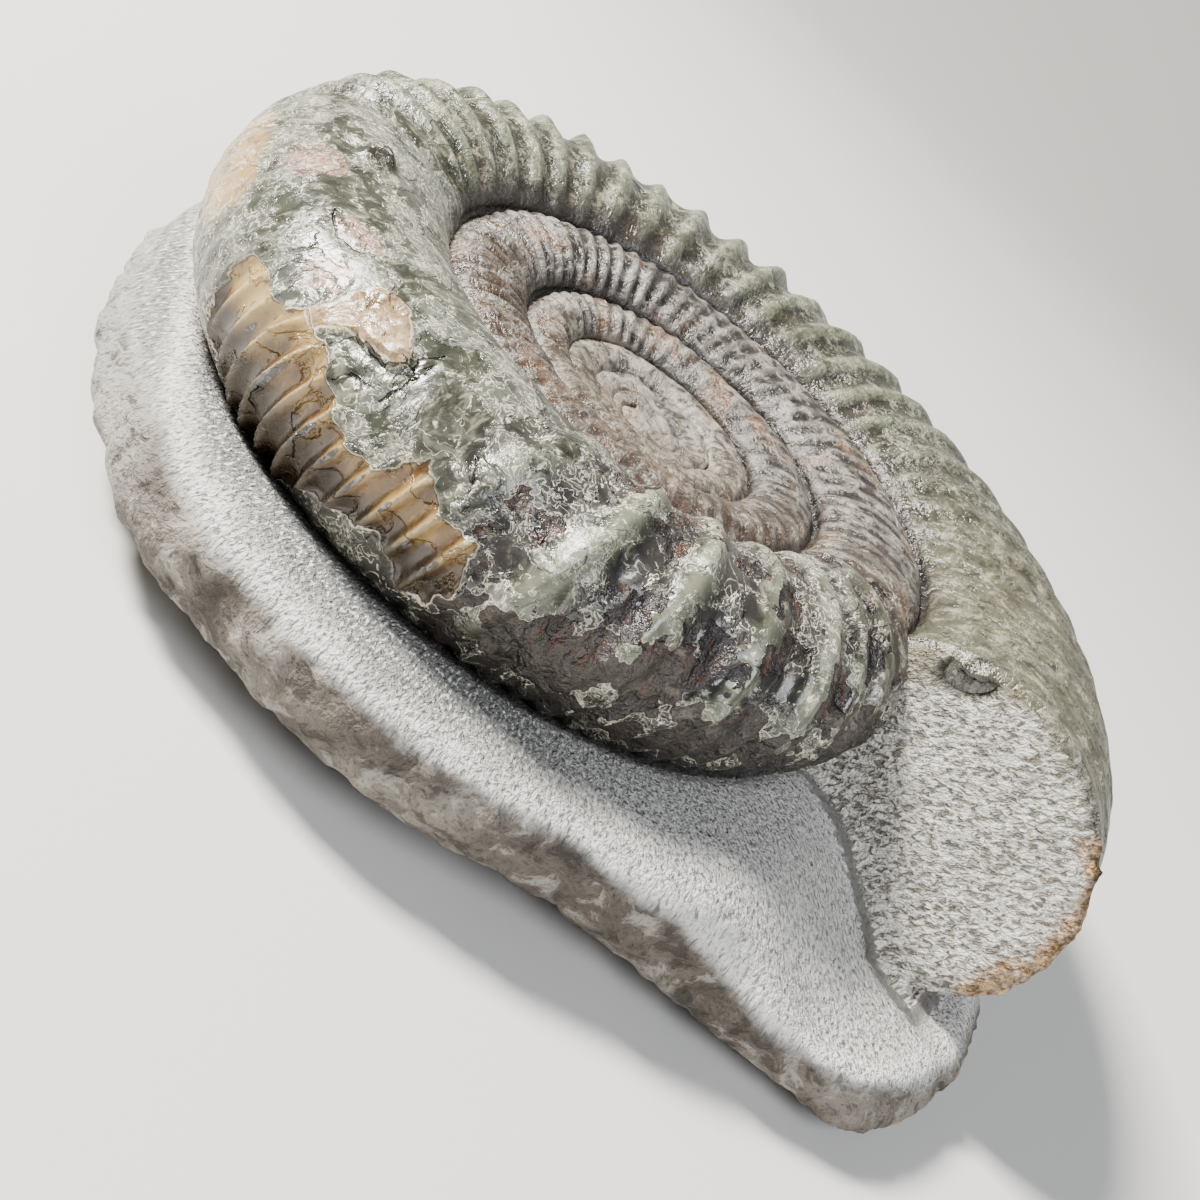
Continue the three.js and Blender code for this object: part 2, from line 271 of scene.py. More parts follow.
# The side, anticlockwise from the left: its upper edge and its widest line, both as x, y and z
STONE_SIDE = np.array([
    (-39.6, 1.3, -7, -41.7, 0.8, -11.5), (-37, -8.5, -7, -39.7, -8.7, -11.5),
    (-31.1, -17.3, -7, -35, -19.1, -11.5), (-27, -23.8, -7, -30.1, -26.1, -11.5),
    (-22, -30.7, -7, -23.8, -32.7, -11), (-15.9, -35.9, -7, -16.9, -37.6, -11),
    (-9.3, -38.6, -7, -9.5, -39.5, -10.8), (0, -39.9, -7, -0.1, -40.6, -10.8),
    (6.2, -39.3, -7, 6.2, -40.1, -10.8), (12.5, -37.7, -7, 12.8, -38.4, -10.8),
    (17.8, -35.5, -7, 18.3, -35.8, -10.9), (22.8, -34.3, -7.3, 22.9, -34.2, -11.2),
    (27.6, -32.6, -8.2, 27, -32.4, -12.3), (31.3, -31, -9.6, 30.9, -31, -13.2),
    (35.2, -30.4, -10.4, 34.9, -30.1, -14), (38.6, -29.4, -10.8, 38.5, -29.5, -14.7),
    (41.2, -28.3, -11, 41.9, -29.1, -15), (44.6, -26.2, -11.2, 45.7, -27.6, -15),
    (46.8, -23.6, -11.4, 48.3, -24.8, -15), (48.4, -20.5, -11.5, 50.2, -21.8, -14.8),
    (49.8, -17.2, -11.6, 51.9, -18.1, -14.2), (50.8, -11.8, -11.6, 53, -12.5, -13.6),
    (51, -4.5, -11.6, 53.2, -5, -13.2), (50.2, 4, -11, 52.4, 4, -13),
    (47.6, 13.4, -9, 49.8, 14, -12.5), (43.3, 23.8, -7, 45.2, 25, -11.5),
    (35.4, 33.8, -7, 37, 35.5, -11.5), (25, 41.2, -7, 26, 43.2, -11.5),
    (11.6, 44.8, -7, 12, 47, -11.5), (-2.5, 44.2, -7, -3, 46.4, -11.5),
    (-16, 39.8, -7, -17, 42, -11.5), (-27, 31.8, -7, -28.5, 33.5, -11.5),
    (-34.6, 21.3, -7, -36.5, 22.5, -11.5), (-38.7, 10.5, -7, -40.8, 11, -11.5),
])
stone_centre = np.array((4.0, -1.0))


def stone_top(x, y):
    waves = 0.3 * np.sin(x / 9 + 1) * np.cos(y / 11)
    return STONE_TOP - STONE_DIP * ease(x - 0.2 * y, *DIP_ACROSS) + waves


def round_side(share):
    """The upper edge and the widest line at a share of the way round, on a smooth curve."""
    place = share * len(STONE_SIDE)
    i = int(math.floor(place))
    f = place - i
    p0, p1, p2, p3 = (STONE_SIDE[(i + k) % len(STONE_SIDE)] for k in (-1, 0, 1, 2))
    bend = (2 * p0 - 5 * p1 + 4 * p2 - p3) * f**2 + (3 * p1 - p0 - 3 * p2 + p3) * f**3
    return 0.5 * (2 * p1 + (p2 - p0) * f + bend)


def stone_profile(down, edge):
    """A point of the stone, from the middle of its top over an edge point to the middle of its underside."""
    upper, widest = edge[:3], edge[3:]
    outward = (widest[:2] - stone_centre) / np.linalg.norm(widest[:2] - stone_centre)
    if down < 0.45:
        share = 0.94 * down / 0.45
        x, y = stone_centre + (upper[:2] - stone_centre) * share
        return x, y, float(stone_top(x, y)) - 0.25 * float(ease(share, 0.85, 0.94))
    if down < 0.52:
        s = (down - 0.45) / 0.07
        flat = stone_centre + (upper[:2] - stone_centre) * 0.94
        x, y = flat + (upper[:2] - outward * 0.2 - flat) * s
        z = float(stone_top(*flat)) - 0.25
        return x, y, z + (upper[2] - z) * s**2
    if down < 0.68:
        s = (down - 0.52) / 0.16
        bulge = 0.35 * math.sin(math.pi * min(1, s * 1.2)) - 0.2 * (1 - s)
        x, y = upper[:2] + (widest[:2] - upper[:2]) * s + outward * bulge
        return x, y, upper[2] + (widest[2] - upper[2]) * s
    s = (down - 0.68) / 0.32
    shrink = 1 - 0.5 * s**1.6 if s < 0.7 else (1 - 0.5 * 0.7**1.6) * (1 - (s - 0.7) / 0.3)
    x, y = stone_centre + (widest[:2] - stone_centre) * shrink
    fall = min(1.0, 1.6 * s) ** 0.8
    return x, y, widest[2] + (STONE_FLOOR - widest[2]) * fall


body = bmesh.new()
bmesh.ops.create_grid(body, x_segments=AROUND, y_segments=PROFILE_ROWS, size=1)
for vert in body.verts:
    edge = round_side((vert.co.x + 1) / 2 % 1.0)
    vert.co = stone_profile((vert.co.y + 1) / 2, edge)

# The stone in the mouth is a thick plate across the shell's end, wider at its foot than the shell.
FILLING_FORWARD = 0.9
FILLING_FOOT = 3.2
FILLING_SPREAD = 3.0
SPREAD_AT = math.radians(-50)
mouth_out = np.array([math.cos(MOUTH_BEARING), math.sin(MOUTH_BEARING), 0])
mouth_forward = np.array([math.sin(MOUTH_BEARING), -math.cos(MOUTH_BEARING), 0])
mouth_radius, mouth_wide, mouth_high = whorl_size(0.0)


def filling_face(z):
    """How far before the mouth the filling's face is at a height. Its foot reaches furthest forward."""
    return FILLING_FORWARD + FILLING_FOOT * np.clip((mouth_high - z) / (2 * mouth_high), 0, 1.2) ** 1.3


def filling_spread(psi):
    return FILLING_SPREAD * np.exp(-(((psi - SPREAD_AT) / 1.05) ** 2))


filling = bmesh.new()
bmesh.ops.create_grid(filling, x_segments=96, y_segments=12, size=1)
for vert in filling.verts:
    psi = vert.co.x * math.pi
    row = (vert.co.y + 1) / 2
    out = float(filling_spread(psi)) - 0.15
    if row < 0.5:
        inset, front = 0.7 * (1 - row / 0.5), row / 0.5 * 0.7
    else:
        s = (row - 0.5) / 0.5
        inset = 0.9 * s + (mouth_wide + out) * max(0, s - 0.25) / 0.75
        front = 0.7 + 0.3 * min(1, s * 3) ** 0.6
    wide = max(mouth_wide + out - inset, 0)
    tall = max(mouth_high + out - inset * mouth_high / mouth_wide, 0)
    z = tall * math.sin(psi)
    ahead = 0.3 + (float(filling_face(z)) - 0.3) * front
    vert.co = mouth_out * (mouth_radius + wide * math.cos(psi)) + mouth_forward * ahead + np.array([0, 0, z])


def close_up(bm, distance):
    """Joins a skin's meeting edges, closes what is left open and turns its faces outwards."""
    bmesh.ops.remove_doubles(bm, verts=bm.verts, dist=distance)
    open_edges = [e for e in bm.edges if e.is_boundary]
    if open_edges:
        bmesh.ops.holes_fill(bm, edges=open_edges, sides=0)
    bmesh.ops.recalc_face_normals(bm, faces=bm.faces)


def to_mesh(bm, name, scale=MM):
    bmesh.ops.scale(bm, vec=(scale,) * 3, verts=bm.verts)
    mesh = bpy.data.meshes.new(name)
    bm.to_mesh(mesh)
    bm.free()
    return mesh


def read_points(mesh, what="co"):
    """Every vertex's place or the way it faces, as rows of x, y and z."""
    flat = np.empty(len(mesh.vertices) * 3)
    mesh.vertices.foreach_get(what, flat)
    return flat.reshape(-1, 3)


close_up(body, 1e-3)
close_up(filling, 1e-3)
join = bpy.data.meshes.new("join")
filling.to_mesh(join)
filling.free()
body.from_mesh(join)
rough_stone = bpy.data.objects.new("rough_stone", to_mesh(body, "rough_stone"))
scene.collection.objects.link(rough_stone)
remesh = rough_stone.modifiers.new("one_skin", "REMESH")
remesh.mode = "VOXEL"
remesh.voxel_size = STONE_GRAIN * MM
smooth = rough_stone.modifiers.new("soften", "SMOOTH")
smooth.factor = 0.5
smooth.iterations = 3
bpy.context.view_layer.update()
finished_stone = rough_stone.evaluated_get(bpy.context.evaluated_depsgraph_get())
stone_mesh = bpy.data.meshes.new_from_object(finished_stone)
bpy.data.objects.remove(rough_stone)
stone_mesh.name = "limestone_matrix_detail"

# The two faces meet in a soft hollow, so the skin is smoothed along their line.
SETTLE_ROUNDS = 40
settled = bmesh.new()
settled.from_mesh(stone_mesh)
meeting = []
for vert in settled.verts:
    at = np.array(vert.co) / MM
    before_face = at @ mouth_forward - filling_face(at[2])
    if 20 < at @ mouth_out < 43.5 and -11.0 < at[2] < -4 and -0.6 < before_face < 3.2:
        meeting.append(vert)
for _ in range(SETTLE_ROUNDS):
    bmesh.ops.smooth_vert(
        settled, verts=meeting, factor=0.5, use_axis_x=True, use_axis_y=True, use_axis_z=True)
settled.to_mesh(stone_mesh)
settled.free()

place = read_points(stone_mesh) / MM
facing = read_points(stone_mesh, "normal")


def gap_to_shell(points):
    """How far points are outside the outer whorl, in millimetres, or below 0 inside it."""
    reach = np.hypot(points[:, 0], points[:, 1])
    t = (np.arctan2(points[:, 1], points[:, 0]) - MOUTH_BEARING) % TURN
    radius, wide, high = whorl_size(t)
    share = np.hypot((reach - radius) / wide, points[:, 2] / high)
    return (share - 1) * np.minimum(wide, high)


ahead_of_mouth = place @ mouth_forward
across_mouth = place @ mouth_out
face_ahead = filling_face(place[:, 2])
lip_out = filling_spread(np.arctan2(place[:, 2], across_mouth - mouth_radius))
in_mouth = np.hypot(
    (across_mouth - mouth_radius) / (mouth_wide + lip_out), place[:, 2] / (mouth_high + lip_out))
on_filling = ease(ahead_of_mouth, 0.1, 0.5) * fade(ahead_of_mouth, face_ahead + 0.5, face_ahead + 1)
on_filling = on_filling * fade(in_mouth, 1.06, 1.12)
from_shell = np.where((ahead_of_mouth > 0.2) & (across_mouth > 24), 9, gap_to_shell(place))
# On the mouth's filling, only the older whorl behind it counts.
ring_reach = np.hypot(place[:, 0], place[:, 1])
old_radius, old_wide, old_high = whorl_size(
    TURN - 0.01 + np.minimum(0, np.arctan2(place[:, 1], place[:, 0]) - MOUTH_BEARING))
old_gap = (np.hypot((ring_reach - old_radius) / old_wide, place[:, 2] / old_high) - 1) * old_high
from_shell = np.where((ahead_of_mouth > 0.2) & (across_mouth > 20), old_gap, from_shell)

# How far a point is out from the stone's upper edge, seen from above
edge_points = np.array([round_side(k / 720) for k in range(720)])
edge_x, edge_y = (edge_points[:, :2] - stone_centre).T
edge_bearing = np.unwrap(np.arctan2(edge_y, edge_x))
from_x, from_y = (place[:, :2] - stone_centre).T
bearing = (np.arctan2(from_y, from_x) - edge_bearing[0]) % TURN + edge_bearing[0]
from_edge = np.hypot(from_x, from_y) - np.interp(bearing, edge_bearing, np.hypot(edge_x, edge_y))
below_edge = np.interp(bearing, edge_bearing, edge_points[:, 2]) - place[:, 2]
# On the left the worn top rolls over further down before the broken side begins.
towards_left = fade(place[:, 0] + 0.3 * np.minimum(0, place[:, 1]), -40, -30)
rolled = blend(0.2, 2.6, towards_left) + 0.5 * ragged(place, 5, 7)
on_side = ease(below_edge - rolled, 0, 1.1) * (1 - on_filling)
on_top = (1 - on_side) * (1 - on_filling)

# Broad lumps all over, a rougher broken side, a groove along the shell and a crease along the mouth's filling
beside_filling = bell(ahead_of_mouth - face_ahead, 0.9, 0.8) * ease(across_mouth, 22, 27)
beside_filling = beside_filling * fade(in_mouth, 1.25, 1.45) * (1 - on_filling)
lumps = 0.28 * ragged(place, 9, 1) + 0.10 * ragged(place, 3.2, 2)
chips = 0.42 * ragged(place, 2.6, 3, 3) - 0.25 * np.maximum(0, ragged(place, 5, 4))
push = lumps * (1 - 0.5 * on_top) + on_side * chips
push -= 0.55 * ease(-from_shell, -0.9, -0.1) * on_top
push -= 0.25 * beside_filling * ease(-place[:, 2], 9.0, 10.5)
broken_lip = 0.35 * ease(in_mouth, 0.8, 1.0) * ragged(place, 1.3, 10) * ease(across_mouth, 46, 49)
push += on_filling * (0.10 * ragged(place, 2.2, 8, 2) + broken_lip)
mouth_pit = np.hypot(
    (across_mouth - 32.8) / 2.3, (place[:, 2] - 8.3) / 1.9 - (across_mouth - 32.8) * 0.2)
push -= 1.0 * on_filling * fade(mouth_pit, 0.4, 1.1)
push += 0.05 * ragged(place, 0.9, 5) * (1 - on_side)
resting = place[:, 2] < STONE_FLOOR + 0.4
push = np.where(resting, -np.abs(push) * 0.15, push)
place = place + facing * push[:, None]
place[:, 2] = np.maximum(place[:, 2], STONE_FLOOR)
low_corner, high_corner = np.array(cad_box) / MM - axis_mm
place = np.clip(place, low_corner + [0.02, 0.02, 0], high_corner - 0.02)
stone_mesh.vertices.foreach_set("co", ((place + axis_mm) * MM).ravel())

# What the stone's material reads at each point
# Stone next to the shell is darker, partly its own colour and partly painted shade from the shell.
by_shell_stone_and_shade = 0.35 * ease(-from_shell, -13, -6) + 0.65 * ease(-from_shell, -6.5, -0.3)
lip_crack = bell(in_mouth + 0.02 * ragged(place, 1.5, 14, 2), 0.955, 0.012)
lip_crack = lip_crack * ease(place[:, 2], -3, 0) * ease(across_mouth, 38, 41)
round_lip = np.degrees(np.arctan2(place[:, 2] / mouth_high, (across_mouth - mouth_radius) / mouth_wide))
outer_lip = ease(round_lip, -50, -25) * fade(round_lip, 38, 55)
crust_edge = in_mouth + 0.07 * ragged(place, 2, 9, 3) - blend(1.0, 0.84, outer_lip)
lip_edge = in_mouth + 0.05 * ragged(place, 2.5, 13, 3) + 0.14 * ease(round_lip, 85, 125)
# Pits run outwards from the coil on the face, and slant up across the mouth's filling.
ring = np.arctan2(place[:, 1], place[:, 0]) * 40
slant = math.radians(42)
slant_along = across_mouth * math.cos(slant) + place[:, 2] * math.sin(slant)
slant_across = place[:, 2] * math.cos(slant) - across_mouth * math.sin(slant)
rim_wander = from_edge + 0.8 * ragged(place, 3, 6, 3)
stone_paint = {
    "side": on_side,
    "filling": on_filling,
    "near_shell_stone_and_shade": by_shell_stone_and_shade * (1 - on_side) * (1 - 0.75 * ease(place[:, 0], 2, 22)),
    # A pale band along the top's rolled edge, partly pale dust and partly a painted highlight.
    "rim_dust_and_highlight": bell(rim_wander, -0.3, 1.15) * ease(-below_edge, -1.2, 0.2) * (1 - on_filling),
    # Painted light: the front of the top slopes away from the lamp and lies in the shell's shadow, so it is
    # made paler.
    "painted_light_front": ease(place[:, 0], 8, 26) * on_top,
    "pale_side": fade(place[:, 0] + 0.5 * ragged(place, 6, 17), -30, -14),
    # Painted shade in the groove along the shell, in the hollow beside the filling and in the mouth's pit,
    # with the dark crack round the shell's lip.
    "crease_shade_and_crack": 0.35 * beside_filling * ease(-place[:, 2], 9.3, 10.5) + ease(-from_shell, -0.35, 0) * on_top
    + on_filling * (fade(mouth_pit, 0.75, 1.15) + lip_crack),
    "crust": on_filling * ease(round_lip, -54, -44) * fade(round_lip, 45, 60) * ease(crust_edge, 0, 0.08),
    "shell_lip": on_filling * ease(round_lip, 20, 60) * ease(lip_edge, 0.86, 0.97),
    "grain_along": blend(ring_reach, slant_along, on_filling),
    "grain_across": blend(ring, slant_across, on_filling),
}


def paint(mesh, values):
    for name, value in values.items():
        layer = mesh.attributes.new(name, "FLOAT", "POINT")
        layer.data.foreach_set("value", np.asarray(value, np.float32))


paint(stone_mesh, stone_paint)


def share_of(material, *limits):
    """Multiplies what limits a colour or a height: numbers, outputs, or an output with two of its levels and,
    where they aren't 0 and 1, the strengths at them."""
    share = None
    for limit in limits:
        if isinstance(limit, tuple):
            value, low, high, *ends = limit
            least, most = ends or (0.0, 1.0)
            levels = {"Value": value, "From Min": low, "From Max": high, "To Min": least, "To Max": most}
            limit = add_node(material, "MapRange", levels, interpolation_type="SMOOTHSTEP")
        if share is None:
            share = limit
        else:
            share = add_node(material, "Math", {0: share, 1: limit}, operation="MULTIPLY")
    return share


def coat(material, base, rows):
    """Lays one colour after another over a base. Each row has a colour, then what limits it."""
    for tint, *limits in rows:
        share = share_of(material, *limits)
        base = add_node(material, "Mix", {0: share, 6: base, 7: tint}, out=2, data_type="RGBA")
    return base


def work_out(material, value, *steps):
    """Takes a value through one sum after another. Each has its operation, then what is multiplied for it."""
    for operation, *limits in steps:
        inputs = {0: value, 1: share_of(material, *limits)} if limits else {0: value}
        value = add_node(material, "Math", inputs, operation=operation)
    return value


# Air-abraded limestone is matt and chalky, with pits that each catch the light on one wall.
limestone = new_material("air_abraded_limestone")
stone_on = {
    name: add_node(limestone, "Attribute", out="Fac", attribute_name=name) for name in stone_paint}
stone_place = add_node(limestone, "TexCoord", out="Object")
grain = add_node(limestone, "CombineXYZ", {"X": stone_on["grain_along"], "Y": stone_on["grain_across"]})
pit_place, dash_place, wave_place = (
    add_node(limestone, "Mapping", {"Vector": grain, "Scale": stretch})
    for stretch in ((1.7, 2.1, 1), (1.7, 3.0, 1), (1.2, 2.3, 1)))
# The clouds that colour and pit it: the scale, detail, roughness and swirl of each. The first three
# are in repeats for each millimetre: pits of 0.45 by 0.37 mm, dashes of 0.51 by 0.29 mm and waves of 0.76 by
# 0.40 mm. The others are in repeats for each metre: grains of 0.4 mm, coarser than the real 0.1 mm to show in
# the render, clouds of 8 mm and crevices of 2.3 mm.
pits, speck, waves, fine, cloud, crevices = (
    add_node(limestone, "TexNoise", {
        "Vector": source, "Scale": scale, "Detail": detail, "Roughness": roughness, "Distortion": swirl})
    for source, scale, detail, roughness, swirl in (
        (pit_place, 1.3, 2.0, 0.7, 0.4),
        (dash_place, 1.15, 1.0, 0.5, 0.0),
        (wave_place, 1.1, 2.0, 0.6, 0.8),
        (stone_place, 2600.0, 2.0, 0.6, 0.0),
        (stone_place, 120.0, 4.0, 0.55, 0.0),
        (stone_place, 430.0, 5.0, 0.65, 0.5),
    ))

mouth_stone = coat(limestone, "#b7b3aa", (
    ("#d3d0c6", (cloud, 0.38, 0.62)),
    ("#f8f5ee", (waves, 0.52, 0.58, 0.0, 0.9)),
    ("#625d53", (waves, 0.48, 0.41, 0.0, 0.85)),
    ("#7d786e", (fine, 0.46, 0.34, 0.0, 0.5)),
    ("#736c56", stone_on["shell_lip"], (cloud, 0.4, 0.55, 0.5, 0.95)),
))
broken_stone = coat(limestone, "#574e46", (
    ("#8f887d", (cloud, 0.38, 0.64)),
    ("#a9a8a3", stone_on["pale_side"], 0.8),
    ("#bcb8ae", (crevices, 0.52, 0.64, 0.0, 0.55)),
    ("#37322c", (crevices, 0.47, 0.38, 0.0, 0.8)),
    ("#3f3a34", (fine, 0.46, 0.34, 0.0, 0.5)),
))
crust = coat(limestone, "#6f4c2b", (("#cfa36b", (fine, 0.40, 0.60)),))
colour = coat(limestone, "#a3a4a0", (
    ("#c6c7c3", (cloud, 0.35, 0.68)),
    # Darker stone and painted shade next to the shell
    ("#83847f", stone_on["near_shell_stone_and_shade"], 0.75),
    # Painted light on the front of the top
    ("#dededa", stone_on["painted_light_front"], 0.75),
    ("#55534e", (pits, 0.46, 0.36, 0.0, 0.75)),
    ("#6b6a66", (fine, 0.52, 0.40, 0.0, 0.35)),
    ("#4d4b47", (speck, 0.45, 0.37, 0.0, 0.5)),
    ("#f6f6f3", (speck, 0.59, 0.64), (stone_on["near_shell_stone_and_shade"], 0.0, 1.0, 0.35, 0.95)),
    # Pale dust and painted highlight on the rolled edge
    ("#ecebe5", stone_on["rim_dust_and_highlight"], (pits, 0.38, 0.50, 0.15, 1.0), 0.85),
    (mouth_stone, stone_on["filling"]),
    (broken_stone, stone_on["side"]),
    (crust, stone_on["crust"], (cloud, 0.3, 0.5, 0.6, 1.0)),
    # Painted shade in creases and the pit, and the dark lip crack
    ("#2a2720", stone_on["crease_shade_and_crack"], 0.9),
))
height = work_out(
    limestone, share_of(limestone, pits, (stone_on["side"], 0.0, 1.0, 1.0, 0.0)),
    ("ADD", fine, 0.5),
    ("ADD", waves, stone_on["filling"], 1.2),
    ("ADD", crevices, stone_on["side"], 2.4))
relief = add_node(limestone, "Bump", {"Height": height, "Strength": 1.0, "Distance": 0.0006})
stone_shader = add_node(limestone, "BsdfPrincipled", {
    "Base Color": colour, "Normal": relief, "Roughness": 0.72, "Specular IOR Level": 0.4})
add_node(limestone, "OutputMaterial", {"Surface": stone_shader})

stone = finish_piece(stone_mesh, limestone)
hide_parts("limestone_matrix")
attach(stone, "root")

# Ammonite shell
# The fossil shell, its chambers filled with stone. Much of it keeps a glossy grey-green outer layer. On the
# near whorl that layer has flaked off in plates, and shows a brown ribbed layer, a pink torn one and dark
# rough stone.
RIBS = 46  # in a turn of the outer whorl, forked into twice as many over its outer edge
RIBS_SECOND = 66
RIBS_THIRD = 48
RIB_LEAN = 0.075  # how much further back a rib is for each radian up the whorl
# On the near side the ribs are worn, and a few broad ones are left: where, and how strong
BROAD_RIBS = (
    (4.895, 0.55), (5.125, 0.95), (5.345, 1.0), (5.575, 0.8),
    (5.80, 0.85), (5.94, 0.6), (6.075, 0.65), (6.2, 0.5))

# The skin is a flat sheet first, t one way and the way round the whorl the other, and is then bent into the
# coil. It has more columns where it's seen close: from which t, to which, and how many for each radian
COLUMNS = (
    (0, 0.8, 80), (0.8, 3.4, 73), (3.4, 4.05, 103), (4.05, 5.2, 137), (5.2, TURN, 116), (TURN, 2 * TURN, 66),
    (2 * TURN, 3 * TURN, 44), (3 * TURN, 4 * TURN, 28), (4 * TURN, WHORLS * TURN, 14))
SEEN_ROWS = 31
HIDDEN_ROWS = 3
column_t = np.concatenate(
    [np.linspace(a, b, int((b - a) * n), endpoint=False) for a, b, n in COLUMNS] + [[WHORLS * TURN]])
sheet = bmesh.new()
bmesh.ops.create_grid(
    sheet, x_segments=len(column_t) - 1, y_segments=SEEN_ROWS + HIDDEN_ROWS, size=1)
for vert in sheet.verts:
    column = round((vert.co.x + 1) / 2 * (len(column_t) - 1))
    vert.co = (column_t[column], (vert.co.y + 1) / 2 * (SEEN_ROWS + HIDDEN_ROWS), 0)
across = [
    e for e in sheet.edges
    if abs(e.verts[0].co.x - e.verts[1].co.x) < 1e-7
    and e.verts[0].co.x < TURN + 0.3
    and max(e.verts[0].co.y, e.verts[1].co.y) < SEEN_ROWS + 0.5
]
bmesh.ops.subdivide_edges(sheet, edges=across, cuts=2, use_grid_fill=True)
shell_mesh = to_mesh(sheet, "ammonite_shell_detail", 1.0)
t, row = read_points(shell_mesh)[:, :2].T

# How far round each whorl is seen: from below the stone's face, or below the next whorl's seam, to over the
# inner seam. The last whorl in has nothing inside it, and is seen to its far side.
whorl_radius, whorl_wide, whorl_high = whorl_size(t)
depth = blend(10.78, CONTACT_DEPTH + 1.7, ease(t, 0.5, 1.5))
low_outer = -np.arcsin(np.clip(depth / whorl_high, -0.99, 0.99))
psi_low = blend(low_outer, outer_seam(t) - 0.16, ease(t, TURN, TURN + 0.3))
last_whorl = ease(t, (WHORLS - 1) * TURN, (WHORLS - 0.8) * TURN)
psi_high = blend(inner_seam(t) + 0.12, math.pi - 0.3, last_whorl)
seen = np.clip(row / SEEN_ROWS, 0, 1)
beyond = np.clip((row - SEEN_ROWS) / HIDDEN_ROWS, 0, 1)
psi = blend(psi_low, psi_high, seen) + (psi_low + TURN - psi_high) * beyond
spot, facing = shell_place(t, psi)
degrees = np.degrees(psi)


def along_whorl(stretch, size, seed, octaves):
    """Cloudy values on the skin, in millimetres along the whorl and stretched round it."""
    return ragged(np.stack([t * 9, psi * stretch, 0 * t], -1), size, seed, octaves)


# Ribs, from a count of them that runs back from the mouth and wanders a little
table_t = np.linspace(-1, WHORLS * TURN + 1, 6000)
density = blend(RIBS, RIBS_SECOND, ease(table_t, 6.1, 6.7))
density = blend(density, RIBS_THIRD, ease(table_t, 12.2, 13.2)) / TURN
table_count = np.concatenate([[0], np.cumsum((density[1:] + density[:-1]) / 2 * np.diff(table_t))])
wander = 0.16 * along_whorl(2, 3.0, 11, 1)
uneven = 1 + 0.5 * ragged(np.stack([t * 7, psi * 3, 0 * t], -1), 1.3, 12, 2)
count_here = np.interp(t - RIB_LEAN * (psi - 1.0), table_t, table_count) + wander
main = (0.5 + 0.5 * np.cos(TURN * count_here)) ** 1.25
rib_place = 2 * RIBS / TURN * (t - 4.734 - 0.07 * psi)

outer = fade(t, 6.0, 6.35)
inner = 1 - outer
shoulder = bell(degrees, 62, 26)
strength = blend(0.10, 0.45, ease(t, 0.35, 0.8)) + 0.55 * ease(t, 1.1, 1.7)
far_ribs = outer * strength * fade(t, 3.35, 3.75)
venter = fade(degrees, 32, 52)
lift = far_ribs * uneven * (0.62 * (main - 0.5) + 0.6 * shoulder * (main**2 - 0.3)) * (1 - venter)
forks = 0.34 * blend(1, 0.3, ease(t, 3.4, 3.9) * fade(t, 4.9, 5.2))
lift += outer * venter * forks * 0.5 * np.cos(TURN * rib_place)
on_bend = ease(np.sin(MOUTH_BEARING + t - 1.45), 0.1, 0.85)
inner_ribs = 0.014 * whorl_radius * blend(0.45, 1.7, on_bend) * (1 - 0.8 * ease(t, 2.9 * TURN, 3.5 * TURN))
lift += inner * inner_ribs * uneven * (main - 0.5)
lift += inner * 0.22 * (1 - on_bend) * along_whorl(3, 3.4, 15, 2)
lift += fade(t, 0.5, 1.0) * outer * 0.07 * np.cos(TURN * 22 * (t - 0.1 * psi) + 3 * wander)
broad = sum(size * bell(t - RIB_LEAN * (psi - 0.52), at, 0.05) for at, size in BROAD_RIBS)
near_ribs = ease(t, 4.72, 4.95) * fade(t, 6.2, 6.4) * ease(degrees, -12, 14)
lift += 1.15 * (broad - 0.35) * near_ribs * (1 - 0.35 * ease(degrees, 70, 100))
lift *= ease(inner_seam(t) - psi, 0.0, 0.35)
lift *= np.where(t < TURN, 1.0, ease(psi - outer_seam(t), 0.0, 0.25))

# A crack runs along each seam between whorls.
far_side = ease(np.sin(MOUTH_BEARING + t), -0.35, 0.25)
seam_angle = np.minimum(inner_seam(t) - psi, np.where(t < TURN, 9.0, psi - outer_seam(t)))
seam_mm = seam_angle * (whorl_wide + whorl_high) / 2
lift -= 0.5 * fade(np.abs(seam_mm), 0.1, 0.8) * np.minimum(1, whorl_wide / 6) * blend(0.35, 1, far_side)

# The plates of the outer layer, on the near whorl as if unrolled: x back from the mouth and y round the whorl
ALONG_MM = 35  # for each radian of t
ROUND_MM = 9  # for each radian of psi
flat_x = t * ALONG_MM
flat_y = psi * ROUND_MM


def outline(points):
    """Corners given as t and degrees of psi, as x and y in millimetres."""
    return np.array([(a * ALONG_MM, math.radians(b) * ROUND_MM) for a, b in points])


def in_outline(corners):
    """How far each point is inside a closed outline, or below 0 outside it."""
    gap = np.full(t.shape, 1e9)
    within = np.zeros(t.shape, bool)
    for (ax, ay), (bx, by) in zip(corners, np.roll(corners, -1, 0)):
        dx, dy = bx - ax, by - ay
        s = np.clip(((flat_x - ax) * dx + (flat_y - ay) * dy) / (dx * dx + dy * dy), 0, 1)
        gap = np.minimum(gap, np.hypot(flat_x - ax - s * dx, flat_y - ay - s * dy))
        within ^= ((ay > flat_y) != (by > flat_y)) & (flat_x < dx * (flat_y - ay) / (dy + 1e-12) + ax)
    return np.where(within, gap, -gap)


def in_oval(at, psi_degrees, long, short, turned=0):
    """How far each point is inside an oval, roughly in millimetres."""
    a = math.radians(turned)
    dx, dy = flat_x - at * ALONG_MM, flat_y - math.radians(psi_degrees) * ROUND_MM
    u, v = dx * math.cos(a) + dy * math.sin(a), dy * math.cos(a) - dx * math.sin(a)
    return (1 - np.hypot(u / long, v / short)) * min(long, short)


